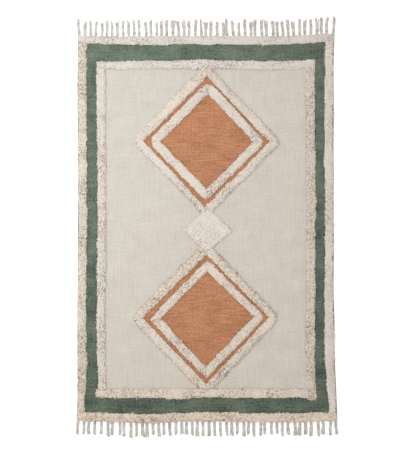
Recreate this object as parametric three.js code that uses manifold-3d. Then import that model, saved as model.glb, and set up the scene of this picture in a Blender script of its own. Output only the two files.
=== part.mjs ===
// A hand-tufted cotton rug of 120 by 180 cm, lying flat. A thin woven ground carries raised lines of
// pile: two round its border, two rings round each of two large diamonds, and a small diamond between
// them. Both ends have a knotted fringe. Millimetres, +Z up, +Y along the rug.

import * as THREE from 'three';
import Module from 'manifold-3d';
import { mergeVertices } from 'three/addons/utils/BufferGeometryUtils.js';

const wasm = await Module();
wasm.setup();

// The woven ground and the narrow strip of last picks that holds each fringe.
const GROUND = { width: 1200, length: 1800, thick: 3 };
const FRINGE_STRIP = 6;
const EDGE_STEP = 50;
const CLEARANCE = 0.35;

// The pile stands this high on the ground, give or take its lumps, and its rim is scalloped.
const PILE = { height: 8, lump: 1, scallop: 2.2, drift: 1.4, driftLength: 170, station: 28 };

// Rim of a pile run, from its foot to its top: how far in from the widest line, and how high.
const PILE_RIM = [
  { inset: 3, rise: 0 },
  { inset: 0, rise: 0.55 },
  { inset: 6, rise: 1 },
];

// Ends of a run that stand free: the pile slopes up over the first millimetres.
const FREE_END = [
  { along: 0, rise: 0.55 },
  { along: 6, rise: 0.95 },
];

// Border runs, by the middle line from one end to the other. A run stops at the edges of those it meets.
const BORDER_RUNS = [
  { name: 'outer_line_top', from: [-598, 881], to: [598, 881], wide: 35, free: 'both', meets: [] },
  { name: 'outer_line_bottom', from: [-598, -881], to: [598, -881], wide: 38, free: 'both', meets: [] },
  {
    name: 'outer_line_left', from: [-578.2, -882], to: [-578.2, 881], wide: 36.4, free: 'none',
    meets: ['outer_line_top', 'outer_line_bottom'],
  },
  {
    name: 'outer_line_right', from: [576.5, -882], to: [576.5, 881], wide: 38, free: 'none',
    meets: ['outer_line_top', 'outer_line_bottom'],
  },
  { name: 'inner_line_top', from: [-509, 765.5], to: [509, 765.5], wide: 35, free: 'both', meets: [] },
  {
    name: 'inner_line_right', from: [489, -799], to: [489, 760], wide: 37, free: 'start',
    meets: ['inner_line_top'],
  },
  {
    name: 'inner_line_bottom', from: [-513, -769], to: [489, -769], wide: 37, free: 'start',
    meets: ['inner_line_right'],
  },
  {
    name: 'inner_line_left', from: [-489, -769], to: [-489, 766], wide: 36, free: 'none',
    meets: ['inner_line_top', 'inner_line_bottom'],
  },
];

// Where a border run swells or narrows by hand: its edges move outward by so much about the place at
// that distance from the run's start. Going along the run, left and right are its two edges.
const SWERVES = [
  { run: 'outer_line_top', at: 70, reach: 60, left: 0, right: -3 },
  { run: 'outer_line_top', at: 330, reach: 90, left: 0, right: 3 },
  { run: 'outer_line_bottom', at: 330, reach: 40, left: -6, right: 3 },
  { run: 'outer_line_left', at: 60, reach: 80, left: 0, right: -7 },
  { run: 'outer_line_left', at: 880, reach: 60, left: 0, right: 4 },
  { run: 'outer_line_left', at: 1000, reach: 50, left: 0, right: -5 },
  { run: 'outer_line_right', at: 40, reach: 70, left: -6, right: -2 },
  { run: 'outer_line_right', at: 1180, reach: 90, left: 4, right: 0 },
  { run: 'inner_line_left', at: 70, reach: 45, left: -7, right: 2 },
  { run: 'inner_line_bottom', at: 390, reach: 45, left: 0, right: 6 },
  { run: 'inner_line_top', at: 470, reach: 60, left: 3, right: 0 },
  { run: 'inner_line_right', at: 900, reach: 80, left: -2, right: 4 },
];

// The two rings of pile on each large diamond, drawn by hand, so no two edges share a middle. These are
// the tips of each ring's outer and inner edge: the top one, the right one, the bottom one, the left one.
const RING_EDGES = [
  { ring: 'upper_outer_ring', edge: 'outer', tips: [[2, 762], [345, 408], [-2, 58], [-341, 410]] },
  { ring: 'upper_outer_ring', edge: 'inner', tips: [[7, 711], [299, 409], [-6, 98], [-294, 410]] },
  { ring: 'upper_inner_ring', edge: 'outer', tips: [[14, 690], [275, 407], [-3, 131], [-270, 407]] },
  { ring: 'upper_inner_ring', edge: 'inner', tips: [[12, 630], [224, 405], [1, 184], [-216, 405]] },
  { ring: 'lower_outer_ring', edge: 'outer', tips: [[1, -68], [344, -414], [0, -776], [-345, -419]] },
  { ring: 'lower_outer_ring', edge: 'inner', tips: [[2, -122], [297, -413], [1, -730], [-297, -418]] },
  { ring: 'lower_inner_ring', edge: 'outer', tips: [[7, -150], [276, -412], [3, -700], [-263, -426]] },
  { ring: 'lower_inner_ring', edge: 'inner', tips: [[6, -199], [229, -411], [-1, -650], [-211, -421]] },
];
const RING_SIDES = ['top_right', 'bottom_right', 'bottom_left', 'top_left'];

// How much of each ring's width is rounded off at the four tips of its outer edge, in the same order,
// and what an outer ring is cut by where it meets the lines above and below.
const RINGS = [
  {
    name: 'upper_outer_ring', roundTips: [0.1, 0.15, 0.1, 0.3], meets: ['inner_line_top', 'small_diamond'],
    seed: 101,
  },
  { name: 'upper_inner_ring', roundTips: [0.3, 0.18, 0.08, 0.28], meets: [], seed: 121 },
  {
    name: 'lower_outer_ring', roundTips: [0.1, 0.3, 0.1, 0.25], meets: ['inner_line_bottom', 'small_diamond'],
    seed: 141,
  },
  { name: 'lower_inner_ring', roundTips: [0.08, 0.1, 0.05, 0.1], meets: [], seed: 161 },
];
const MITRE_SETBACK = 0.3;
const TIP_REACH = 34;
const SMALL_DIAMOND = { x: 5, y: -8, halfWidth: 113, halfHeight: 105 };

// Places where the rug lies pulled out of square, and how far the pull is felt around them.
const PULLS = [
  { x: 570, y: 900, right: 1, up: 11, reachX: 125, reachY: 260 },
  { x: -600, y: 900, right: 3, up: 4, reachX: 70, reachY: 120 },
  { x: 600, y: -900, right: 11, up: 1, reachX: 140, reachY: 240 },
  { x: 600, y: -450, right: 2, up: 0, reachX: 60, reachY: 90 },
  { x: 600, y: -260, right: -2.5, up: 0, reachX: 30, reachY: 110 },
  { x: 600, y: 110, right: -6, up: 0, reachX: 30, reachY: 280 },
  { x: 600, y: 400, right: -2.5, up: 0, reachX: 30, reachY: 120 },
  { x: 600, y: 720, right: -3, up: 0, reachX: 30, reachY: 170 },
  { x: -600, y: -900, right: -5, up: 5, reachX: 120, reachY: 110 },
  { x: -270, y: -900, right: 0, up: -5, reachX: 170, reachY: 130 },
];
const SIDE_WAVE = { size: 1.8, length: 1150, phase: 0.9 };
const END_WAVE = { size: 1.3, length: 760, phase: 2.2 };

// Fringe tassels: cut length, how far they stray, and their sections from root to cut end.
const TASSEL = { endInset: 6, stray: 4.4, length: 66, lengthStray: 6, lean: 4, leanStray: 2.2, bow: 2 };
const TASSEL_SWAY_STEP = 100;
const TASSEL_END_LEAN = 6;
const TASSEL_TOP_SHARE = 0.62;
const TASSEL_SECTIONS = [
  { out: -0.05, wide: 8, low: 0.7, high: 2.3 },
  { out: 0.08, wide: 8, low: 0, high: 2.8 },
  { out: 0.18, wide: 10.5, low: 0, high: 5.6 },
  { out: 0.27, wide: 8, low: 0, high: 3.6 },
  { out: 0.62, wide: 9.8, low: 0, high: 3.8 },
  { out: 1, wide: 11.6, low: 0, high: 2.8 },
];
const FRINGES = [
  { name: 'fringe_top', side: 1, count: 47, seed: 41 },
  { name: 'fringe_bottom', side: -1, count: 46, seed: 87 },
];

// Colours and surfaces.
const YARN = { cream: 0xd9cfc1, pileCream: 0xd6c9b9, fringeCream: 0xc6bdb1, roughness: 0.95 };

// A stream of random numbers from 0 to 1 that is the same each time for the same seed.
const STREAM = { factor: 16807, modulus: 2147483647, spread: 7919 };

function randomFrom(seed) {
  let state = seed * STREAM.spread;
  return () => {
    state = (state * STREAM.factor) % STREAM.modulus;
    return state / STREAM.modulus;
  };
}

function signed(random) {
  return 2 * random() - 1;
}

// A line that wanders smoothly between -1 and 1, with a new random turn at each step of its length.
function wanderLine(random, length, step) {
  const turns = Array.from({ length: Math.ceil(length / step) + 2 }, () => signed(random));
  return (distance) => {
    const turn = Math.floor(distance / step);
    const part = THREE.MathUtils.smoothstep(distance / step - turn, 0, 1);
    return THREE.MathUtils.lerp(turns[turn], turns[turn + 1], part);
  };
}

function bell(distance, reach) {
  return Math.exp(-((distance / reach) ** 2));
}

// Where a point of the squared-up rug lies on the floor, with its waves and pulled corners.
function lay(x, y) {
  let dx = SIDE_WAVE.size * Math.sin((2 * Math.PI * y) / SIDE_WAVE.length + SIDE_WAVE.phase);
  let dy = END_WAVE.size * Math.sin((2 * Math.PI * x) / END_WAVE.length + END_WAVE.phase);
  for (const pull of PULLS) {
    const weight = bell(x - pull.x, pull.reachX) * bell(y - pull.y, pull.reachY);
    dx += pull.right * weight;
    dy += pull.up * weight;
  }
  return [x + dx, y + dy];
}

function toSolid(geometry) {
  const bare = geometry.clone();
  bare.deleteAttribute('normal');
  bare.deleteAttribute('uv');
  const merged = mergeVertices(bare);
  return new wasm.Manifold(new wasm.Mesh({
    numProp: 3,
    vertProperties: new Float32Array(merged.getAttribute('position').array),
    triVerts: new Uint32Array(merged.getIndex().array),
  }));
}

function toGeometry(solid) {
  const { vertProperties, triVerts } = solid.getMesh();
  const geometry = new THREE.BufferGeometry();
  geometry.setAttribute('position', new THREE.BufferAttribute(vertProperties, 3));
  geometry.setIndex(new THREE.BufferAttribute(triVerts, 1));
  geometry.computeVertexNormals();
  return geometry;
}

function yarnMesh(name, geometry, color) {
  const material = new THREE.MeshStandardMaterial({ color, roughness: YARN.roughness, metalness: 0 });
  const mesh = new THREE.Mesh(geometry, material);
  mesh.name = name;
  return mesh;
}

// A closed skin over loops of points that all have the same number of points.
function skin(loops) {
  const size = loops[0].length;
  const last = (loops.length - 1) * size;
  const faces = [];
  for (let row = 0; row < last; row += size) {
    for (let i = 0; i < size; i += 1) {
      const next = (i + 1) % size;
      faces.push(row + i, row + size + i, row + size + next);
      faces.push(row + i, row + size + next, row + next);
    }
  }
  for (let i = 1; i < size - 1; i += 1) {
    faces.push(0, i, i + 1);
    faces.push(last, last + i + 1, last + i);
  }
  const geometry = new THREE.BufferGeometry();
  geometry.setAttribute('position', new THREE.Float32BufferAttribute(loops.flat(2), 3));
  geometry.setIndex(faces);
  return geometry;
}

// A flat plate between two heights, with the given outline as it lies on the floor.
function plate(outline, bottom, top) {
  const shape = new THREE.Shape(outline.map(([x, y]) => new THREE.Vector2(...lay(x, y))));
  const geometry = new THREE.ExtrudeGeometry(shape, { depth: top - bottom, bevelEnabled: false });
  return geometry.translate(0, 0, bottom);
}

// Points of a rectangle's outline, anticlockwise, close enough together to follow the rug's waves.
function rectangleOutline(left, right, bottom, top) {
  const across = Math.ceil((right - left) / EDGE_STEP);
  const along = Math.ceil((top - bottom) / EDGE_STEP);
  const outline = [];
  for (let i = 0; i < across; i += 1) {
    outline.push([left + ((right - left) * i) / across, bottom]);
  }
  for (let i = 0; i < along; i += 1) {
    outline.push([right, bottom + ((top - bottom) * i) / along]);
  }
  for (let i = 0; i < across; i += 1) {
    outline.push([right - ((right - left) * i) / across, top]);
  }
  for (let i = 0; i < along; i += 1) {
    outline.push([left, top - ((top - bottom) * i) / along]);
  }
  return outline;
}

// The woven ground, one flat sheet up to the strips that hold the fringes.
function groundCloth() {
  const halfWidth = GROUND.width / 2;
  const halfLength = GROUND.length / 2 - FRINGE_STRIP - CLEARANCE;
  const outline = rectangleOutline(-halfWidth, halfWidth, -halfLength, halfLength);
  return yarnMesh('ground_cloth', plate(outline, 0, GROUND.thick), YARN.cream);
}

// One tassel lying on the floor: flat below, knotted near its root, a little fanned at its cut end.
function tassel(root, side, length, lean, bow) {
  const end = (side * GROUND.length) / 2;
  const [layX, layY] = lay(root, end);
  const loops = TASSEL_SECTIONS.map(({ out, wide, low, high }) => {
    const along = Math.max(out, 0);
    const x = layX + lean * along + bow * Math.sin(Math.PI * along);
    const y = layY + side * length * out;
    const half = wide / 2;
    const loop = [
      [x - half, y, low],
      [x + half, y, low],
      [x + half * TASSEL_TOP_SHARE, y, high],
      [x - half * TASSEL_TOP_SHARE, y, high],
    ];
    return side > 0 ? loop : loop.reverse();
  });
  return toSolid(skin(loops));
}

// A fringe: its tassels fused at their roots into the strip of last picks.
function fringe({ name, side, count, seed }) {
  const random = randomFrom(seed);
  const width = GROUND.width;
  const end = GROUND.length / 2;
  const strip = side > 0 ? [end - FRINGE_STRIP, end] : [-end, FRINGE_STRIP - end];
  const outline = rectangleOutline(-width / 2, width / 2, ...strip);
  const sway = wanderLine(random, width, TASSEL_SWAY_STEP);
  const pitch = (width - 2 * TASSEL.endInset) / (count - 1);
  let solid = toSolid(plate(outline, 0, GROUND.thick));
  for (let i = 0; i < count; i += 1) {
    const place = i - (count - 1) / 2;
    const atEnd = Math.abs(place) === (count - 1) / 2;
    const stray = atEnd ? 0 : TASSEL.stray * signed(random);
    const root = place * pitch + stray;
    const length = TASSEL.length + TASSEL.lengthStray * signed(random);
    const drift = TASSEL.lean * sway(root + width / 2) + TASSEL.leanStray * signed(random);
    const lean = atEnd ? TASSEL_END_LEAN * Math.sign(place) : drift;
    solid = solid.add(tassel(root, side, length, lean, TASSEL.bow * signed(random)));
  }
  return yarnMesh(name, toGeometry(solid), YARN.fringeCream);
}

// The stations of a pile run: at each, its left and right edge, and how high it stands. The corners
// are those at the start, left and right, then those at the end, right and left.
function runStations({ name, corners, free, roundings = [0, 0], seed }) {
  const random = randomFrom(seed);
  const [startLeft, startRight, endRight, endLeft] = corners.map(([x, y]) => new THREE.Vector2(x, y));
  const start = startLeft.clone().add(startRight).divideScalar(2);
  const end = endLeft.clone().add(endRight).divideScalar(2);
  const length = start.distanceTo(end);
  const steps = Math.round(length / PILE.station);
  const distances = Array.from({ length: steps - 1 }, (_, i) => ((i + 1) * length) / steps);
  const startEnds = free === 'start' || free === 'both' ? FREE_END : [{ along: 0, rise: 1 }];
  const endEnds = free === 'both' ? FREE_END : [{ along: 0, rise: 1 }];
  const places = [
    ...startEnds.map(({ along, rise }) => ({ distance: along, rise })),
    ...distances.map((distance) => ({ distance, rise: 1 })),
    ...endEnds.map(({ along, rise }) => ({ distance: length - along, rise })).reverse(),
  ];
  const drifts = [1, 1].map(() => wanderLine(random, length, PILE.driftLength));
  const swerves = SWERVES.filter(({ run }) => run === name);
  return places.map(({ distance, rise }) => {
    const left = startLeft.clone().lerp(endLeft, distance / length);
    const right = startRight.clone().lerp(endRight, distance / length);
    const outward = left.clone().sub(right);
    const width = outward.length();
    outward.normalize();
    const tips = [distance, length - distance].map((away) => Math.max(0, 1 - away / TIP_REACH) ** 2);
    const moves = drifts.map((drift) => PILE.drift * drift(distance) + PILE.scallop * signed(random));
    moves[0] -= width * (roundings[0] * tips[0] + roundings[1] * tips[1]);
    for (const swerve of swerves) {
      const weight = bell(distance - swerve.at, swerve.reach);
      moves[0] += swerve.left * weight;
      moves[1] += swerve.right * weight;
    }
    left.addScaledVector(outward, moves[0]);
    right.addScaledVector(outward, -moves[1]);
    return { left, right, outward, rise };
  });
}

// The lumpy, scalloped slab of pile over a run's stations, standing on the ground.
function pileSlab(run) {
  const random = randomFrom(run.seed + 1);
  const stations = runStations(run);
  const middle = stations[Math.floor(stations.length / 2)];
  const crowns = Math.round(middle.left.distanceTo(middle.right) / PILE.station) - 1;
  const base = GROUND.thick + CLEARANCE;
  const loops = stations.map(({ left, right, outward, rise }) => {
    const leftRim = PILE_RIM.map((row) => ({
      at: left.clone().addScaledVector(outward, -row.inset), rise: row.rise,
    }));
    const rightRim = PILE_RIM.map((row) => ({
      at: right.clone().addScaledVector(outward, row.inset), rise: row.rise,
    }));
    const crown = Array.from({ length: Math.max(crowns, 0) }, (_, i) => ({
      at: right.clone().lerp(left, (i + 1) / (crowns + 1)), rise: 1,
    }));
    return [...rightRim, ...crown, ...leftRim.reverse()].map((point) => {
      const lump = PILE.lump * signed(random);
      return [...lay(point.at.x, point.at.y), base + point.rise * rise * (PILE.height + lump)];
    });
  });
  return toSolid(skin(loops));
}

// The room that a run's neighbours leave for it: its outline, a little wider, through their height.
function pileRoom(run) {
  const stations = runStations(run);
  const left = stations.map((station) => station.left.clone().addScaledVector(station.outward, CLEARANCE));
  const right = stations.map((station) => station.right.clone().addScaledVector(station.outward, -CLEARANCE));
  for (const edge of [left, right]) {
    const last = edge.length - 1;
    const startward = edge[0].clone().sub(edge[1]).setLength(CLEARANCE);
    const endward = edge[last].clone().sub(edge[last - 1]).setLength(CLEARANCE);
    edge[0].add(startward);
    edge[last].add(endward);
  }
  const outline = [...right, ...left.reverse()].map(({ x, y }) => [x, y]);
  return toSolid(plate(outline, -GROUND.thick, GROUND.thick + 3 * PILE.height));
}

// A straight border run as the four corners of its band.
function borderRun({ name, from, to, wide, free, meets }, index) {
  const start = new THREE.Vector2(...from);
  const end = new THREE.Vector2(...to);
  const along = end.clone().sub(start).normalize();
  const left = new THREE.Vector2(-along.y, along.x).multiplyScalar(wide / 2);
  const corners = [
    start.clone().add(left),
    start.clone().sub(left),
    end.clone().sub(left),
    end.clone().add(left),
  ].map(({ x, y }) => [x, y]);
  return { name, corners, free, meets, seed: 11 + 2 * index };
}

// The four mitred sides of a ring, clockwise from its top. Their left edge is the ring's outer edge.
function ringRuns({ name, roundTips, meets, seed }) {
  const [outer, inner] = ['outer', 'inner'].map((wanted) => (
    RING_EDGES.find(({ ring, edge }) => ring === name && edge === wanted)
      .tips.map(([x, y]) => new THREE.Vector2(x, y))
  ));
  return RING_SIDES.map((side, i) => {
    const next = (i + 1) % RING_SIDES.length;
    const along = outer[next].clone().sub(outer[i]).setLength(MITRE_SETBACK);
    const corners = [
      outer[i].clone().add(along),
      inner[i].clone().add(along),
      inner[next].clone().sub(along),
      outer[next].clone().sub(along),
    ].map(({ x, y }) => [x, y]);
    const roundings = [roundTips[i], roundTips[next]];
    return { name: `${name}_${side}`, corners, free: 'none', roundings, meets, seed: seed + 2 * i };
  });
}

// The small diamond, as a short, wide run from its lower left side to its upper right side.
function smallDiamondRun() {
  const { x, y, halfWidth, halfHeight } = SMALL_DIAMOND;
  return {
    name: 'small_diamond',
    corners: [[x - halfWidth, y], [x, y - halfHeight], [x + halfWidth, y], [x, y + halfHeight]],
    free: 'both',
    meets: [],
    seed: 5,
  };
}

const pileRuns = [
  ...BORDER_RUNS.map(borderRun),
  ...RINGS.flatMap(ringRuns),
  smallDiamondRun(),
];

// A run trimmed to its neighbours. Where they pass its corner they can cut a crumb off it, which goes.
function pileMesh(run) {
  let solid = pileSlab(run);
  for (const neighbour of run.meets) {
    solid = solid.subtract(pileRoom(pileRuns.find(({ name }) => name === neighbour)));
  }
  const largest = solid.decompose().reduce((a, b) => (a.volume() > b.volume() ? a : b));
  return yarnMesh(run.name, toGeometry(largest), YARN.pileCream);
}

const rug = new THREE.Group();
rug.add(groundCloth(), ...FRINGES.map(fringe), ...pileRuns.map(pileMesh));

// The origin is at the middle of the rug's whole extent, fringes included, on the floor.
const middle = new THREE.Box3().setFromObject(rug).getCenter(new THREE.Vector3());
rug.position.set(-middle.x, -middle.y, 0);

export default rug;
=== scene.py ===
import math

import bpy
import numpy as np
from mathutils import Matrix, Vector
from mathutils.bvhtree import BVHTree


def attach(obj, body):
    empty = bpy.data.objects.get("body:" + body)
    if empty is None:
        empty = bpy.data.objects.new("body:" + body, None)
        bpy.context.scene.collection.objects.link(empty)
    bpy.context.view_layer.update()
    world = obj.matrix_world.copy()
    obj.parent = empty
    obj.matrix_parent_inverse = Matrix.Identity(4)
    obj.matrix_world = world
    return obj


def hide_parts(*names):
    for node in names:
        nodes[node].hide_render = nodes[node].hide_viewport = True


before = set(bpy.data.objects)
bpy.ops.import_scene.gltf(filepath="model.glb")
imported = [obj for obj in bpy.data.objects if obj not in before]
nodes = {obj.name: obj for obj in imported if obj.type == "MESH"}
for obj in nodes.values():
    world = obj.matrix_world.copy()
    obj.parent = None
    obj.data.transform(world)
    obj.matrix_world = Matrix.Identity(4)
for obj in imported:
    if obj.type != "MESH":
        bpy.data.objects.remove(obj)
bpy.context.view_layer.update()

# The view and the studio: the rug lies on a white floor and is seen from straight above. The pale
# room gives most of the light, and one soft lamp stands near on the left, just above the middle.
CAMERA_PLACE = (0.0046, -0.0052, 5.06)
LENS = 85
LAMP_PLACE = (-1.3, 0.65, 2.0)
LAMP_SIZE = 1.1
LAMP_POWER = 33.5
LAMP_COLOUR = (0.88, 1.0, 1.06)
ROOM_COLOUR = (1.01, 0.957, 0.912)
ROOM_STRENGTH = 1.05
FLOOR_SIZE = 40
FLOOR_COLOUR = (0.98, 0.98, 0.98)
FLOOR_ROUGHNESS = 0.9

scene = bpy.context.scene
scene.view_settings.view_transform = "Standard"

camera = bpy.data.objects.new("camera", bpy.data.cameras.new("camera"))
camera.location = CAMERA_PLACE
camera.data.lens = LENS
scene.collection.objects.link(camera)
scene.camera = camera

lamp = bpy.data.objects.new("lamp", bpy.data.lights.new("lamp", "AREA"))
lamp.data.size = LAMP_SIZE
lamp.data.energy = LAMP_POWER
lamp.data.color = LAMP_COLOUR
lamp.location = LAMP_PLACE
lamp.rotation_euler = (-Vector(LAMP_PLACE)).to_track_quat("-Z", "Y").to_euler()
scene.collection.objects.link(lamp)

room = bpy.data.worlds.new("room")
room.use_nodes = True
room.node_tree.nodes["Background"].inputs["Color"].default_value = (*ROOM_COLOUR, 1)
room.node_tree.nodes["Background"].inputs["Strength"].default_value = ROOM_STRENGTH
scene.world = room


def joined_mesh(name, points, face_sets, material):
    """One object from points and from arrays of faces, each with its own number of corners."""
    mesh = bpy.data.meshes.new(name)
    corners = np.concatenate([faces.ravel() for faces in face_sets])
    counts = np.concatenate([np.full(len(faces), faces.shape[1]) for faces in face_sets])
    mesh.vertices.add(len(points))
    mesh.vertices.foreach_set("co", np.asarray(points, np.float32).ravel())
    mesh.loops.add(len(corners))
    mesh.loops.foreach_set("vertex_index", corners.astype(np.int32))
    mesh.polygons.add(len(counts))
    mesh.polygons.foreach_set("loop_start", (np.cumsum(counts) - counts).astype(np.int32))
    mesh.update(calc_edges=True)
    mesh.shade_smooth()
    mesh.materials.append(material)
    piece = bpy.data.objects.new(name, mesh)
    scene.collection.objects.link(piece)
    return piece


def plain_material(name, colour, roughness):
    """A material of one colour, for a piece's own nodes to build on."""
    material = bpy.data.materials.new(name)
    material.use_nodes = True
    shader = material.node_tree.nodes["Principled BSDF"]
    shader.inputs["Base Color"].default_value = (*colour, 1)
    shader.inputs["Roughness"].default_value = roughness
    return material


half_floor = FLOOR_SIZE / 2
floor_corners = [(-half_floor, -half_floor, 0), (half_floor, -half_floor, 0),
                 (half_floor, half_floor, 0), (-half_floor, half_floor, 0)]
floor = joined_mesh("floor", np.array(floor_corners), [np.array([[0, 1, 2, 3]])],
                    plain_material("white_floor", FLOOR_COLOUR, FLOOR_ROUGHNESS))

# The ground: one flat-woven cotton sheet, 3 mm thick, its weft packed in slubby rows. The weaver
# changes the yarn for the green border and for the two orange diamonds. All its edges are woven.
CLOTH_FLAT = (1.2, 1.8)
CLOTH_CELL = 0.0125
CLOTH_UNDERSIDE = 0.001
SELVEDGE = (0.0, 0.0012, 0.004)  # steps in from the edge, and the top's height at each
SELVEDGE_TOP = (0.0018, 0.0027, 0.003)
RIPPLE_HEIGHT = 0.0002
RIPPLE_ACROSS = (9, 4, 7)  # waves, how far they bend, and how often
RIPPLE_ALONG = (13, 3, 5)
THREAD_PITCH = (0.0034, 0.0029)  # of the warp and of the weft
WARP_CRIMP = 0.5
WEFT_CRIMP = 0.3
WEAVE_RELIEF = {"Distance": 0.0007, "Strength": 0.6}
CLOTH_ROUGHNESS = 0.92
SLUBS = {  # how fine each is across the cloth and along it
    "Weft Slub": (14, 130, 1), "Warp Slub": (110, 9, 1), "Mottle": (115, 115, 1),
    "Fading": (9, 14, 1),
}
SLUB_DETAIL = 2.0
GREEN_FROM = (0.489, 0.767)  # from the middle, across and along
DIAMOND_MIDDLES = ((0.001, 0.410), (-0.002, -0.419))
DIAMOND_HALF = (0.316, 0.325)
OUTLINE_WANDER = 0.004
WANDER_SCALE = 12.0
CREAM = ("#aaa39a", "#c3bcb4")
CREAM_SHARES = (0.55, 0.7, 1.1, 0.6)
GREEN = ("#2a382f", "#697464")
GREEN_SHARES = (0.8, 0.4, 1.5, 1.2)
# The green grows lighter towards the top and a little darker towards the right.
GREEN_SLOPE = (-0.033, 0.105, 0)
ORANGE = ("#7f4f34", "#bb8561")
ORANGE_SHARES = (0.95, 0.3, 1.2, 0.6)


def linear(code):
    """A colour given as a hex code, in the linear light that shaders use."""
    parts = np.array([int(code[i:i + 2], 16) for i in (1, 3, 5)]) / 255
    return (*np.where(parts <= 0.04045, parts / 12.92, ((parts + 0.055) / 1.055) ** 2.4), 1)


def solid_mesh(node):
    """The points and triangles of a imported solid, with equal points merged."""
    mesh = nodes[node].data
    mesh.calc_loop_triangles()
    points = np.empty(len(mesh.vertices) * 3, np.float32)
    mesh.vertices.foreach_get("co", points)
    triangles = np.empty(len(mesh.loop_triangles) * 3, np.int32)
    mesh.loop_triangles.foreach_get("vertices", triangles)
    merged, place = np.unique(points.reshape(-1, 3).round(6), axis=0, return_inverse=True)
    return merged.astype(float), place.ravel()[triangles].reshape(-1, 3)


def cloth_edges():
    """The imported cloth's lower outline as its bottom, top, left and right edges."""
    points, _ = solid_mesh("ground_cloth")
    outline = points[points[:, 2] < CLOTH_UNDERSIDE][:, :2]
    away = outline - outline.mean(0)
    outline = outline[np.argsort(np.arctan2(away[:, 1], away[:, 0]))]
    ways = ((-1, -1), (1, -1), (1, 1), (-1, 1))
    corner_at = [int(np.argmax(outline @ np.array(way))) for way in ways]
    runs = []
    for start, end in zip(corner_at, corner_at[1:] + corner_at[:1]):
        steps = (end - start) % len(outline)
        runs.append(outline[(start + np.arange(steps + 1)) % len(outline)])
    bottom, right, top, left = runs
    return bottom, top[::-1], left[::-1], right


def along_edge(edge, share):
    """Points of an edge at the given shares of its length."""
    place = share * (len(edge) - 1)
    return np.stack([np.interp(place, np.arange(len(edge)), edge[:, axis]) for axis in (0, 1)], 1)


def selvedge_shares(length):
    """Shares of a side where the cloth's grid has a line: close together at the woven edges."""
    near = np.array(SELVEDGE)
    cells = round(length / CLOTH_CELL)
    inner = np.linspace(SELVEDGE[-1], length - SELVEDGE[-1], cells + 1)[1:-1]
    return np.concatenate([near, inner, length - near[::-1]]) / length


def selvedge_height(share, length):
    """The cloth's height at a share of a side: rounded off towards both woven edges."""
    from_edge = np.minimum(share, 1 - share) * length
    return np.interp(from_edge, SELVEDGE, SELVEDGE_TOP)


def cloth_ripple(s, t):
    """Low waves from -1 to 1 over the cloth, bent so that none runs straight."""
    across, across_bend, across_turn = RIPPLE_ACROSS
    along, along_bend, along_turn = RIPPLE_ALONG
    waves = np.sin(across * s + across_bend * np.sin(across_turn * t))
    return waves * np.sin(along * t + along_bend * np.sin(along_turn * s))


def ground_mesh(material):
    """The cloth's closed sheet: a grid stretched between its four edges."""
    bottom, top, left, right = cloth_edges()
    across, along = selvedge_shares(CLOTH_FLAT[0]), selvedge_shares(CLOTH_FLAT[1])
    s, t = np.meshgrid(across, along, indexing="ij")
    low, high = along_edge(bottom, across)[:, None], along_edge(top, across)[:, None]
    west, east = along_edge(left, along)[None], along_edge(right, along)[None]
    s3, t3 = s[..., None], t[..., None]
    flat = (1 - t3) * low + t3 * high + (1 - s3) * west + s3 * east
    flat -= ((1 - s3) * ((1 - t3) * bottom[0] + t3 * top[0])
             + s3 * ((1 - t3) * bottom[-1] + t3 * top[-1]))
    rise = np.minimum(selvedge_height(s, CLOTH_FLAT[0]), selvedge_height(t, CLOTH_FLAT[1]))
    upper = np.dstack([flat, rise + RIPPLE_HEIGHT * cloth_ripple(s, t)])
    lower = np.dstack([flat, SELVEDGE_TOP[-1] - rise])
    points = np.concatenate([upper.reshape(-1, 3), lower.reshape(-1, 3)])
    wide, deep = s.shape
    number = np.arange(wide * deep).reshape(wide, deep)
    cells = np.stack([number[:-1, :-1], number[1:, :-1], number[1:, 1:], number[:-1, 1:]], -1)
    cells = cells.reshape(-1, 4)
    rim = np.concatenate([number[:-1, 0], number[-1, :-1], number[:0:-1, -1], number[0, :0:-1]])
    beside = np.roll(rim, -1)
    under = wide * deep
    walls = np.stack([rim + under, beside + under, beside, rim], 1)
    faces = [cells, cells[:, ::-1] + under, walls]
    piece = joined_mesh("woven_ground", points, faces, material)
    plan = np.stack([(s.ravel() - 0.5) * CLOTH_FLAT[0], (t.ravel() - 0.5) * CLOTH_FLAT[1]], 1)
    plan = np.concatenate([plan, plan])
    corners = np.empty(len(piece.data.loops), np.int32)
    piece.data.loops.foreach_get("vertex_index", corners)
    layer = piece.data.uv_layers.new(name="cloth_plan")
    layer.uv.foreach_set("vector", plan[corners].astype(np.float32).ravel())
    return piece


def put(tree, kind, inputs=(), **settings):
    """One shader node with its settings. Its inputs, by name or number, are values or outputs."""
    node = tree.nodes.new(kind)
    for name, value in settings.items():
        setattr(node, name, value)
    for key, value in dict(inputs).items():
        if isinstance(value, bpy.types.NodeSocket):
            tree.links.new(value, node.inputs[key])
        else:
            node.inputs[key].default_value = value
    return node


def value_of(tree, operation, *values):
    """A Math node's result."""
    return put(tree, "ShaderNodeMath", dict(enumerate(values)), operation=operation).outputs[0]


def blend_of(tree, share, dark, light):
    """A colour between two others."""
    return put(tree, "ShaderNodeMix", {0: share, 6: dark, 7: light}, data_type="RGBA").outputs[2]


def node_group(name, inputs, outputs):
    """A shader group with inputs, given as name, kind and default, and number outputs."""
    group = bpy.data.node_groups.new(name, "ShaderNodeTree")
    for label, kind, value in inputs:
        socket = group.interface.new_socket(label, in_out="INPUT", socket_type=kind)
        if value is not None:
            socket.default_value = value
    for label in outputs:
        group.interface.new_socket(label, in_out="OUTPUT", socket_type="NodeSocketFloat")
    return group, group.nodes.new("NodeGroupInput"), group.nodes.new("NodeGroupOutput")


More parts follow.
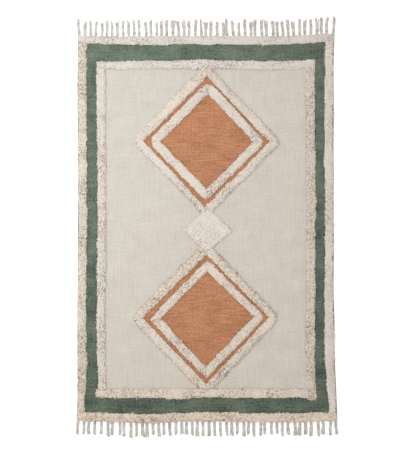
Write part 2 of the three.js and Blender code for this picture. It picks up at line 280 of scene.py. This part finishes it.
def flat_weave():
    """Plain weave: threads over and under each other, thick slubs along the rows, and mottling."""
    group, inlet, outlet = node_group(
        "flat_weave",
        [("Plan", "NodeSocketVector", None), ("Warp Pitch", "NodeSocketFloat", THREAD_PITCH[0]),
         ("Weft Pitch", "NodeSocketFloat", THREAD_PITCH[1])],
        ["Height", *SLUBS],
    )

    def ridge(thread):
        """How high a thread stands across its width."""
        return value_of(group, "SINE", value_of(
            group, "MULTIPLY", value_of(group, "FRACT", thread), math.pi))

    def top(own, other, crimp):
        """A thread's ridge where it passes over the others, lower between them."""
        dip = value_of(group, "MULTIPLY_ADD", other, crimp, 1 - crimp)
        return value_of(group, "MULTIPLY", own, dip)

    place = put(group, "ShaderNodeSeparateXYZ", {0: inlet.outputs["Plan"]}).outputs
    warp = value_of(group, "DIVIDE", place[0], inlet.outputs["Warp Pitch"])
    weft = value_of(group, "DIVIDE", place[1], inlet.outputs["Weft Pitch"])
    warp_ridge, weft_ridge = ridge(warp), ridge(weft)
    crossing = value_of(
        group, "ADD", value_of(group, "FLOOR", warp), value_of(group, "FLOOR", weft))
    warp_over = value_of(group, "PINGPONG", crossing, 1.0)
    warp_top = top(warp_ridge, weft_ridge, WARP_CRIMP)
    weft_top = top(weft_ridge, warp_ridge, WEFT_CRIMP)
    thread = put(group, "ShaderNodeMix", {0: warp_over, 2: weft_top, 3: warp_top},
                 data_type="FLOAT")
    group.links.new(thread.outputs[0], outlet.inputs["Height"])
    for label, stretch in SLUBS.items():
        place = put(group, "ShaderNodeVectorMath", {0: inlet.outputs["Plan"], 1: stretch},
                    operation="MULTIPLY")
        noise = put(group, "ShaderNodeTexNoise",
                    {"Vector": place.outputs[0], "Scale": 1.0, "Detail": SLUB_DETAIL})
        group.links.new(noise.outputs[0], outlet.inputs[label])
    return group


def woven_pattern():
    """Where the border and the diamonds are woven, their outlines a little unsteady."""
    group, inlet, outlet = node_group(
        "woven_pattern", [("Plan", "NodeSocketVector", None)], ["Border", "Diamonds"])
    plan = inlet.outputs["Plan"]
    wander = put(group, "ShaderNodeTexNoise", {"Vector": plan, "Scale": WANDER_SCALE})
    centred = put(group, "ShaderNodeVectorMath", {0: wander.outputs["Color"], 1: (0.5,) * 3},
                  operation="SUBTRACT")
    moved = put(group, "ShaderNodeVectorMath",
                {0: centred.outputs[0], 1: (OUTLINE_WANDER,) * 3, 2: plan},
                operation="MULTIPLY_ADD")
    x, y, _ = put(group, "ShaderNodeSeparateXYZ", {0: moved.outputs[0]}).outputs
    aside = value_of(group, "GREATER_THAN", value_of(group, "ABSOLUTE", x), GREEN_FROM[0])
    beyond = value_of(group, "GREATER_THAN", value_of(group, "ABSOLUTE", y), GREEN_FROM[1])
    group.links.new(value_of(group, "MAXIMUM", aside, beyond), outlet.inputs["Border"])
    insides = []
    for middle in DIAMOND_MIDDLES:
        steps = []
        for value, centre, half in zip((x, y), middle, DIAMOND_HALF):
            away = value_of(group, "ABSOLUTE", value_of(group, "SUBTRACT", value, centre))
            steps.append(value_of(group, "DIVIDE", away, half))
        insides.append(value_of(group, "LESS_THAN", value_of(group, "ADD", *steps), 1.0))
    group.links.new(value_of(group, "MAXIMUM", *insides), outlet.inputs["Diamonds"])
    return group


def yarn_tone(tree, weave, shares):
    """How light a yarn looks, from its slubs, its mottling and its fading."""
    tone = 0.5 - sum(shares) / 2
    for share, label in zip(shares, SLUBS):
        tone = value_of(tree, "MULTIPLY_ADD", weave.outputs[label], share, tone)
    return tone


def ground_material():
    """The flat weave in its three yarns: cream, green for the border, orange for the diamonds."""
    material = plain_material("flat_woven_cotton", linear(CREAM[0])[:3], CLOTH_ROUGHNESS)
    tree = material.node_tree
    shader = tree.nodes["Principled BSDF"]
    plan = put(tree, "ShaderNodeUVMap", uv_map="cloth_plan").outputs[0]
    weave = put(tree, "ShaderNodeGroup", node_tree=flat_weave())
    pattern = put(tree, "ShaderNodeGroup", node_tree=woven_pattern())
    tree.links.new(plan, weave.inputs["Plan"])
    tree.links.new(plan, pattern.inputs["Plan"])
    green_slope = put(tree, "ShaderNodeVectorMath", {0: plan, 1: GREEN_SLOPE}, operation="DOT_PRODUCT")
    cream_tone = yarn_tone(tree, weave, CREAM_SHARES)
    green_tone = value_of(
        tree, "ADD", yarn_tone(tree, weave, GREEN_SHARES), green_slope.outputs["Value"])
    orange_tone = yarn_tone(tree, weave, ORANGE_SHARES)
    cream = blend_of(tree, cream_tone, linear(CREAM[0]), linear(CREAM[1]))
    green = blend_of(tree, green_tone, linear(GREEN[0]), linear(GREEN[1]))
    orange = blend_of(tree, orange_tone, linear(ORANGE[0]), linear(ORANGE[1]))
    colour = blend_of(tree, pattern.outputs["Border"], cream, green)
    colour = blend_of(tree, pattern.outputs["Diamonds"], colour, orange)
    tree.links.new(colour, shader.inputs["Base Color"])
    bump = put(tree, "ShaderNodeBump", {"Height": weave.outputs["Height"], **WEAVE_RELIEF})
    tree.links.new(bump.outputs[0], shader.inputs["Normal"])
    return material


ground = ground_mesh(ground_material())
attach(ground, "root")
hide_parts("ground_cloth")

# The pile: chunky two-ply cotton, tufted through the ground in close rows and cut about 8 mm high.
# Each run is its own band of tufts, its yarn from its own lot, a little paler or darker. Each
# run also gets a painted light tint, coolest for the top runs and warmest for the bottom one, and
# painted shade browns the roots. The tufts bend over in locks that share a direction, and outward
# at the rim, so from above they look like short strands.
TUFT_PITCH = 0.005
TUFT_STRAY = 0.0013
TUFT_FOOT = 0.003
TUFT_PATH = (  # at four steps: drift along the lean, share of the height, radius
    (-0.4, 0.62, 0.0018), (-0.2, 0.9, 0.0021), (0.3, 0.95, 0.002), (0.75, 0.84, 0.0012),
)
TUFT_SIDES = 4
TUFT_TURN = 0.5
TUFT_REACH = (0.7, 1.1)
TUFT_THICKNESS = (0.85, 1.15)
TUFT_UNEVEN = 0.0004
LOCK_SIZE = 0.024
LOCK_TURN = 0.9
LOCK_LEAN = 0.0085
LOCK_RISE = 0.0009
RIM_SLOPE = 0.5
LEAST_SLOPE = 0.05
RIM_LEAN = (0.0015, 0.0105)
RIM_STRAY = (0.05, 0.006)  # the share of loose tufts, and how far they reach
RIM_SINK = 0.16
OUTER_SPLAY = (0.003, 0.011)
BED_SHARE = 0.8
BED_INSET = 0.0006
PILE_DARK = "#8b7761"
# The yarn's pale colour at the cool and at the warm end of each run's painted light tint.
PILE_PALE = ("#d7d2cf", "#dacec2")
# Painted shade: the brown that the roots and the bed are drawn in, where the tufts shade them.
PILE_ROOT_PAINTED_SHADE = "#b3a28c"
PILE_ROUGHNESS = 0.95
PILE_SHEEN = {"Sheen Weight": 0.15, "Sheen Roughness": 0.6}
PILE_YARN = {"Fleck Scale": 160.0, "Fleck Detail": 3.0, "Twist Scale": 900.0}
PILE_RELIEF = {"Distance": 0.0006, "Strength": 0.5}
# The height shares over which the painted root shade gives way to the yarn's colour.
PILE_PAINTED_SHADE_SPAN = (0.35, 0.95)
TWIST_DETAIL = 2.0
FLECK_SHARE = 0.8
FLECK_DEPTH = 1.0
FLECKS_BY_PATCH = 0.62
FLECKS_BY_PALENESS = -0.75
PATCH_SIZE = 0.075
TUFT_TONE = 1.2
TONE_BY_PALENESS = 0.6
TONE_BY_LOCK = 0.1
BED_TONE = 0.5
# The bed counts as half height, so it takes mostly the painted root shade.
BED_HEIGHT = 0.5
YARN_LOTS_AND_PAINTED_TINTS = {  # how pale each run's yarn is, and how warm its painted light tint is
    "outer_line_left": (-0.16, 0.45), "outer_line_right": (0.17, 0.25),
    "outer_line_top": (0.12, 0.0), "outer_line_bottom": (-0.07, 1.0),
    "inner_line_left": (-0.06, 0.45), "inner_line_right": (-0.14, 0.6),
    "inner_line_top": (0.13, 0.0), "inner_line_bottom": (0.0, 0.65),
    "upper_outer_ring": (0.22, 0.65), "upper_inner_ring": (0.14, 0.6),
    "lower_outer_ring": (0.03, 0.8), "lower_inner_ring": (0.09, 0.7),
    "small_diamond": (0.33, 0.25),
}
PILE_SEED = 300
ABOVE_PILE = 0.1
SLANTED = (0.31, 0.52, 0.79)  # a direction that no tuft and no yarn follows


def lock_field(rng, places, size=LOCK_SIZE):
    """A smooth random value from -1 to 1 at each place, alike within a lock of the given size."""
    low = places.min(0) - size
    cells = np.ceil((places.max(0) + size - low) / size).astype(int) + 2
    knots = rng.uniform(-1, 1, cells)
    at = (places - low) / size
    cell = at.astype(int)
    part = at - cell
    part = part * part * (3 - 2 * part)
    x, y = cell.T
    px, py = part.T
    near = knots[x, y] * (1 - px) + knots[x + 1, y] * px
    far = knots[x, y + 1] * (1 - px) + knots[x + 1, y + 1] * px
    return near * (1 - py) + far * py


def tuft_places(rng, points, surface):
    """Where a run's tufts stand, in rows along it: place, pile height and the slope's direction."""
    middle = points[:, :2].mean(0)
    along = np.linalg.svd(points[:, :2] - middle, full_matrices=False)[2][0]
    across = np.array([-along[1], along[0]])
    turned = (points[:, :2] - middle) @ np.stack([along, across], 1)
    low, high = turned.min(0), turned.max(0)
    rows = np.arange(low[1], high[1] + TUFT_PITCH, TUFT_PITCH * math.sqrt(3) / 2)
    steps = np.arange(low[0], high[0] + TUFT_PITCH, TUFT_PITCH)
    a, b = np.meshgrid(steps, rows)
    a = a + np.where(np.arange(len(rows)) % 2, TUFT_PITCH / 2, 0)[:, None]
    grid = np.stack([a.ravel(), b.ravel()], 1)
    grid += rng.uniform(-TUFT_STRAY, TUFT_STRAY, (a.size, 2))
    found = []
    for x, y in grid @ np.stack([along, across]) + middle:
        place, normal, _, _ = surface.ray_cast(Vector((x, y, ABOVE_PILE)), Vector((0, 0, -1)))
        if place is not None:
            found.append((x, y, place.z, normal.x, normal.y))
    return np.array(found)


def tubes(paths, radii, sides):
    """Closed tubes along paths, all with the same number of steps: points, quads and end caps."""
    count, steps = paths.shape[:2]
    ahead = np.gradient(paths, axis=1)
    ahead /= np.linalg.norm(ahead, axis=2, keepdims=True)
    up = np.cross(ahead, SLANTED)
    up /= np.linalg.norm(up, axis=2, keepdims=True)
    side = np.cross(ahead, up)
    angle = 2 * math.pi * np.arange(sides) / sides
    ring = up[:, :, None] * np.cos(angle)[:, None] + side[:, :, None] * np.sin(angle)[:, None]
    points = paths[:, :, None] + radii[:, :, None, None] * ring
    number = np.arange(count * steps * sides).reshape(count, steps, sides)
    beside = np.roll(number, -1, 2)
    quads = np.stack([number[:, :-1], beside[:, :-1], beside[:, 1:], number[:, 1:]], -1)
    caps = np.concatenate([number[:, 0, ::-1], number[:, -1]])
    return points.reshape(-1, 3), quads.reshape(-1, 4)[:, ::-1], caps[:, ::-1]


def tuft_lean(rng, spot, slope, rim, ring_middle):
    """How far each tuft bends over: with its lock inside the run, and outward at the rim."""
    count = len(spot)
    along = np.linalg.svd(spot - spot.mean(0), full_matrices=False)[2][0]
    heading = math.atan2(along[1], along[0]) + LOCK_TURN * lock_field(rng, spot)
    heading += rng.normal(0, TUFT_TURN, count)
    reach = LOCK_LEAN * rng.uniform(*TUFT_REACH, count)[:, None]
    lean = reach * np.stack([np.cos(heading), np.sin(heading)], 1)
    outward = slope / np.maximum(np.linalg.norm(slope, axis=1, keepdims=True), LEAST_SLOPE)
    least, most = RIM_LEAN
    outreach = least + (most - least) * (0.5 + 0.5 * lock_field(rng, spot))
    outreach += RIM_STRAY[1] * (rng.uniform(0, 1, count) < RIM_STRAY[0])
    if ring_middle is not None:
        outer = (outward * (spot - ring_middle)).sum(1) > 0
        outreach += outer * rng.uniform(*OUTER_SPLAY, count)
    return lean + rim * outward * (outreach[:, None] - (lean * outward).sum(1, keepdims=True))


def tuft_mesh(rng, found, paler, ring_middle):
    """The tufts at the found places: points, faces, and each point's tone and height share."""
    count = len(found)
    spot, top, slope = found[:, :2], found[:, 2], found[:, 3:]
    rim = np.minimum(np.linalg.norm(slope, axis=1) / RIM_SLOPE, 1)[:, None]
    lean = tuft_lean(rng, spot, slope, rim, ring_middle)
    height = top + LOCK_RISE * lock_field(rng, spot) + rng.normal(0, TUFT_UNEVEN, count) - TUFT_FOOT
    paths, radii = [], []
    for step, (drift, rise, radius) in enumerate(TUFT_PATH):
        share = rise * (1 - rim[:, 0]) if step == 0 else rise - RIM_SINK * rim[:, 0] * step
        paths.append(np.column_stack([spot + drift * lean, TUFT_FOOT + share * height]))
        radii.append(radius * rng.uniform(*TUFT_THICKNESS, count))
    points, quads, caps = tubes(np.stack(paths, 1), np.stack(radii, 1), TUFT_SIDES)
    flecks = FLECK_DEPTH + FLECKS_BY_PATCH * lock_field(rng, spot, PATCH_SIZE)
    flecks += FLECKS_BY_PALENESS * paler
    tone = TUFT_TONE + TONE_BY_PALENESS * paler - flecks * rng.uniform(0, 1, count) ** 2
    tone += TONE_BY_LOCK * lock_field(rng, spot)
    share = np.tile(np.repeat([rise for _, rise, _ in TUFT_PATH], TUFT_SIDES), count)
    return points, quads, caps[count:], np.repeat(tone, len(points) // count), share


def pile_bed(points, triangles):
    """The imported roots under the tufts: the run's own form, lower and drawn in."""
    corner = points[triangles]
    facing = np.cross(corner[:, 1] - corner[:, 0], corner[:, 2] - corner[:, 0])
    normal = np.zeros_like(points)
    for k in range(3):
        np.add.at(normal, triangles[:, k], facing)
    flat = normal[:, :2] / np.maximum(np.linalg.norm(normal, axis=1), 1e-12)[:, None]
    base = points[:, 2].min()
    bed = points.copy()
    bed[:, :2] -= BED_INSET * flat
    bed[:, 2] = base + BED_SHARE * (bed[:, 2] - base)
    return bed


def plied_yarn():
    """Soft cotton yarn: flecks of lighter and darker fibre, and the fine ridges of its twist."""
    group, inlet, outlet = node_group(
        "plied_yarn",
        [("Place", "NodeSocketVector", None),
         *((label, "NodeSocketFloat", value) for label, value in PILE_YARN.items())],
        ["Fleck", "Twist"],
    )
    for label, detail in (("Fleck", inlet.outputs["Fleck Detail"]), ("Twist", TWIST_DETAIL)):
        noise = put(group, "ShaderNodeTexNoise", {
            "Vector": inlet.outputs["Place"], "Scale": inlet.outputs[label + " Scale"],
            "Detail": detail,
        })
        group.links.new(noise.outputs[0], outlet.inputs[label])
    return group


def yarn_flecks(tree, yarn, relief):
    """A plied yarn's flecks. Its twist goes to the shader as a fine bump."""
    place = put(tree, "ShaderNodeTexCoord").outputs["Object"]
    plied = put(tree, "ShaderNodeGroup", {"Place": place, **yarn}, node_tree=soft_yarn)
    bump = put(tree, "ShaderNodeBump", {"Height": plied.outputs["Twist"], **relief})
    tree.links.new(bump.outputs[0], tree.nodes["Principled BSDF"].inputs["Normal"])
    return plied.outputs["Fleck"]


def pile_material():
    """Cotton pile: flecked tufts, paler by their lot, cool or warm by a painted light tint, and
    browner at the roots by painted shade.
    """
    material = plain_material("cotton_pile", linear(PILE_PALE[0])[:3], PILE_ROUGHNESS)
    tree = material.node_tree
    shader = tree.nodes["Principled BSDF"]
    for name, value in PILE_SHEEN.items():
        shader.inputs[name].default_value = value
    tone, share, painted_light_tint = (
        put(tree, "ShaderNodeAttribute", attribute_name=name).outputs["Fac"]
        for name in ("tone", "height", "painted_light_tint")
    )
    fleck = yarn_flecks(tree, PILE_YARN, PILE_RELIEF)
    tone = value_of(tree, "SUBTRACT", tone, FLECK_SHARE / 2)
    tone = value_of(tree, "MULTIPLY_ADD", fleck, FLECK_SHARE, tone)
    # Painted light tint: each run's pale colour between cool and warm.
    pale = blend_of(tree, painted_light_tint, linear(PILE_PALE[0]), linear(PILE_PALE[1]))
    yarn = blend_of(tree, tone, linear(PILE_DARK), pale)
    # Painted shade: the tufts turn browner towards their roots.
    root_painted_shade = put(tree, "ShaderNodeMapRange",
                {"Value": share, "From Min": PILE_PAINTED_SHADE_SPAN[0], "From Max": PILE_PAINTED_SHADE_SPAN[1]}).outputs[0]
    tree.links.new(blend_of(tree, root_painted_shade, linear(PILE_ROOT_PAINTED_SHADE), yarn), shader.inputs["Base Color"])
    return material


def pile_run(node, number, material, lot_and_tint, ring_middle):
    """One run of pile: its bed of roots and its tufts, in its own lot of yarn and its own painted
    light tint.
    """
    rng = np.random.default_rng(PILE_SEED + number)
    paler, tint_of_run = lot_and_tint
    points, triangles = solid_mesh(node)
    surface = BVHTree.FromPolygons(points.tolist(), triangles.tolist())
    found = tuft_places(rng, points, surface)
    tufts, quads, caps, tone, share = tuft_mesh(rng, found, paler, ring_middle)
    bed = pile_bed(points, triangles)
    faces = [triangles, quads + len(bed), caps + len(bed)]
    piece = joined_mesh("pile_" + node, np.concatenate([bed, tufts]), faces, material)
    # The height share brings in the painted root shade, and the tint is the run's painted light
    # tint.
    looks = {
        "tone": (BED_TONE, tone), "height": (BED_HEIGHT, share),
        "painted_light_tint": (tint_of_run, np.full(len(tufts), tint_of_run)),
    }
    for name, (of_bed, of_tufts) in looks.items():
        values = np.concatenate([np.full(len(bed), of_bed), of_tufts])
        layer = piece.data.attributes.new(name, "FLOAT", "POINT")
        layer.data.foreach_set("value", values.astype(np.float32))
    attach(piece, "root")
    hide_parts(node)


soft_yarn = plied_yarn()
pile_yarn = pile_material()
pile_nodes = sorted(
    node for node in nodes if "_line_" in node or "_ring_" in node or node == "small_diamond")
for number, node in enumerate(pile_nodes):
    lot_and_tint = next(lot_and_tint for start, lot_and_tint in YARN_LOTS_AND_PAINTED_TINTS.items() if node.startswith(start))
    ring_middle = DIAMOND_MIDDLES[node.startswith("lower")] if "_outer_ring" in node else None
    pile_run(node, number, pile_yarn, lot_and_tint, ring_middle)

# The fringes: at each end the warp yarns hang out past a narrow strip of last picks, and are
# knotted in bunches. Each tassel is a handful of soft plied yarns, laid flat, splayed at the cut.
YARNS = 7
YARN_RADIUS = 0.0017
YARN_UNEVEN = (0.9, 1.1)
YARN_THICKENING = (0.12, 6)  # its share of the radius, and its waves
YARN_SIDES = 5
YARN_STEPS = 9
YARN_SPREAD_AT = (0, 0.22, 0.4, 1)
YARN_SPREAD = (1.5, 1.5, 1.5, 1.12)
YARN_PRESS = 0.6
YARN_FAN = (0.8, 1.2)
YARN_SWAY = 0.25
YARN_WAVES = (0.8, 1.6)
YARN_SPLAY = 0.0012
YARN_SPLIT = (0.2, 0.0022)  # the share of split tassels, and how far they part
YARN_DROOP = 0.6
YARN_TRIM = {"fringe_top": (-0.004, 0.013), "fringe_bottom": (-0.006, 0.004)}
TASSEL_TUCK = 0.004
TASSEL_ROOT = (0.006, 0.0026)  # width and height
TASSEL_FROM = 0.0015
ROW_GAP = 0.0015
KNOT_TURNS = 1.6
KNOT_RADIUS = 0.0015
KNOT_LENGTH = 0.0042
KNOT_PRESS = 0.7
KNOT_STEPS = 18
KNOT_RING = 2
STRIP_WIDE = 0.006
STRIP_THICK = 0.003
STRIP_BEVEL = 0.0006
STRIP_CLEAR = 0.00035
FRINGE = ("#9b9791", "#c8c5c0")
FRINGE_ROUGHNESS = 0.95
FRINGE_YARN = {"Fleck Scale": 60.0, "Fleck Detail": 4.0, "Twist Scale": 1100.0}
FRINGE_RELIEF = {"Distance": 0.0005, "Strength": 0.6}
FRINGE_CONTRAST = (0.3, 0.7)
FRINGE_SEED = 900


def tassel_rows(points, triangles, side, end):
    """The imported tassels, each as sections from root to tip: middle, distance, width, height."""
    outside = side * points[:, 1] > end
    joined = triangles[outside[triangles].all(1)]
    label = np.arange(len(points))
    before = None
    while before is None or (label != before).any():
        before = label.copy()
        lowest = label[joined].min(1)
        for k in range(3):
            np.minimum.at(label, joined[:, k], lowest)
    tassels = []
    for tag in np.unique(label[outside]):
        own = points[outside & (label == tag)]
        own = own[np.argsort(side * own[:, 1])]
        breaks = np.flatnonzero(np.diff(side * own[:, 1]) > ROW_GAP) + 1
        rows = []
        for row in np.split(own, breaks):
            rows.append(((row[:, 0].min() + row[:, 0].max()) / 2, row[:, 1].mean(),
                         np.ptp(row[:, 0]), row[:, 2].max()))
        tassels.append(np.array(rows))
    return tassels


def tassel_knot(rng, knot, side):
    """The knot's yarn, wrapped round the tassel at its section given as in tassel_rows."""
    middle, out, wide, high = knot
    turn = np.linspace(0, 2 * math.pi * KNOT_TURNS, KNOT_STEPS) + rng.uniform(0, math.pi)
    wrap = np.stack([
        middle + (wide / 2 - KNOT_RADIUS) * np.cos(turn),
        out + side * KNOT_LENGTH * (turn / turn[-1] - 0.5),
        high / 2 + (high / 2 - KNOT_RADIUS * KNOT_PRESS) * np.sin(turn),
    ], 1)
    wrap[:, 2] = np.maximum(wrap[:, 2], KNOT_RADIUS)
    return tubes(wrap[None], np.full((1, KNOT_STEPS), KNOT_RADIUS), YARN_SIDES)


def tassel_mesh(rng, rows, side, root, trims):
    """One tassel's yarns from the strip to the cut end, and its knot."""
    out = np.concatenate([[root - side * TASSEL_TUCK], rows[:, 1]])
    share = np.linspace(0, 1, YARN_STEPS)
    y = out[0] + share * (out[-1] - out[0])
    middle, width, height = (
        np.interp(side * y, side * out, np.concatenate([[at_root], sections]))
        for at_root, sections in zip((rows[0, 0], *TASSEL_ROOT), rows[:, (0, 2, 3)].T)
    )
    split = YARN_SPLIT[1] * (rng.uniform() < YARN_SPLIT[0])
    fan = rng.uniform(*YARN_FAN)
    thickening, waves = YARN_THICKENING
    paths, radii = [], []
    for k in range(YARNS):
        column = 2 * k / (YARNS - 1) - 1
        layer = k % 2
        radius = YARN_RADIUS * rng.uniform(*YARN_UNEVEN) * (1 - thickening * np.cos(waves * share))
        phase = share * rng.uniform(*YARN_WAVES) + rng.uniform()
        sway = YARN_SWAY * np.sin(2 * math.pi * phase)
        spread = np.interp(share, YARN_SPREAD_AT, YARN_SPREAD) * (1 + (fan - 1) * share)
        x = middle + (width / 2 - YARN_RADIUS * YARN_PRESS) * spread * (column + sway * share)
        x = x + YARN_SPLAY * rng.normal() * share**3 + split * np.sign(column) * share**2
        z = radius + np.maximum(height - 2 * radius, 0) * layer * (1 - YARN_DROOP * share)
        trim = rng.uniform(*trims)
        paths.append(np.stack([x, y + side * trim * share**2, z], 1))
        radii.append(radius)
    yarns = tubes(np.array(paths), np.array(radii), YARN_SIDES)
    return [yarns, tassel_knot(rng, rows[KNOT_RING - 1], side)]


def strip_mesh(edge, side):
    """The strip of last picks past the cloth's end, one narrow closed band: points and quads."""
    inner = edge + (0, side * STRIP_CLEAR)
    outer = inner + (0, side * STRIP_WIDE)
    heights = (0.0, STRIP_BEVEL, STRIP_THICK - STRIP_BEVEL, STRIP_THICK)
    loops = np.stack([
        np.column_stack([line, np.full(len(edge), height)])
        for line, height in zip((inner, outer, outer, inner), heights)
    ], 1)
    number = np.arange(len(edge) * 4).reshape(len(edge), 4)
    beside = np.roll(number, -1, 1)
    quads = np.stack([number[:-1], beside[:-1], beside[1:], number[1:]], -1).reshape(-1, 4)
    quads = np.concatenate([quads, np.stack([number[0, ::-1], number[-1]])])
    return loops.reshape(-1, 3), quads if side < 0 else quads[:, ::-1]


def fringe_material():
    """The fringe's yarn, in soft streaks of light and dark."""
    material = plain_material("fringe_yarn", linear(FRINGE[1])[:3], FRINGE_ROUGHNESS)
    tree = material.node_tree
    fleck = yarn_flecks(tree, FRINGE_YARN, FRINGE_RELIEF)
    contrast = put(tree, "ShaderNodeMapRange", {
        "Value": fleck, "From Min": FRINGE_CONTRAST[0], "From Max": FRINGE_CONTRAST[1],
    }).outputs[0]
    colour = blend_of(tree, contrast, linear(FRINGE[0]), linear(FRINGE[1]))
    tree.links.new(colour, tree.nodes["Principled BSDF"].inputs["Base Color"])
    return material


def fringe_mesh(node, side, edge, material):
    """One end's strip and tassels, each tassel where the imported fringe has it."""
    rng = np.random.default_rng(FRINGE_SEED + side)
    points, triangles = solid_mesh(node)
    end_of_strip = side * edge[:, 1] + STRIP_CLEAR + STRIP_WIDE
    shifted = points.copy()
    shifted[:, 1] -= side * np.interp(points[:, 0], edge[:, 0], end_of_strip)
    strip_points, strip_quads = strip_mesh(edge, side)
    all_points, all_quads, all_caps = [strip_points], [strip_quads], []
    base = len(strip_points)
    for rows in tassel_rows(shifted, triangles, side, TASSEL_FROM):
        root = side * np.interp(rows[0, 0], edge[:, 0], end_of_strip)
        rows[:, 1] += root
        for own_points, quads, caps in tassel_mesh(rng, rows, side, root, YARN_TRIM[node]):
            all_points.append(own_points)
            all_quads.append(quads + base)
            all_caps.append(caps + base)
            base += len(own_points)
    faces = [np.concatenate(all_quads), np.concatenate(all_caps)]
    return joined_mesh("knotted_" + node, np.concatenate(all_points), faces, material)


fringe_yarn = fringe_material()
bottom_edge, top_edge, _, _ = cloth_edges()
for node, side, edge in (("fringe_top", 1, top_edge), ("fringe_bottom", -1, bottom_edge)):
    piece = fringe_mesh(node, side, edge, fringe_yarn)
    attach(piece, "root")
    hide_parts(node)
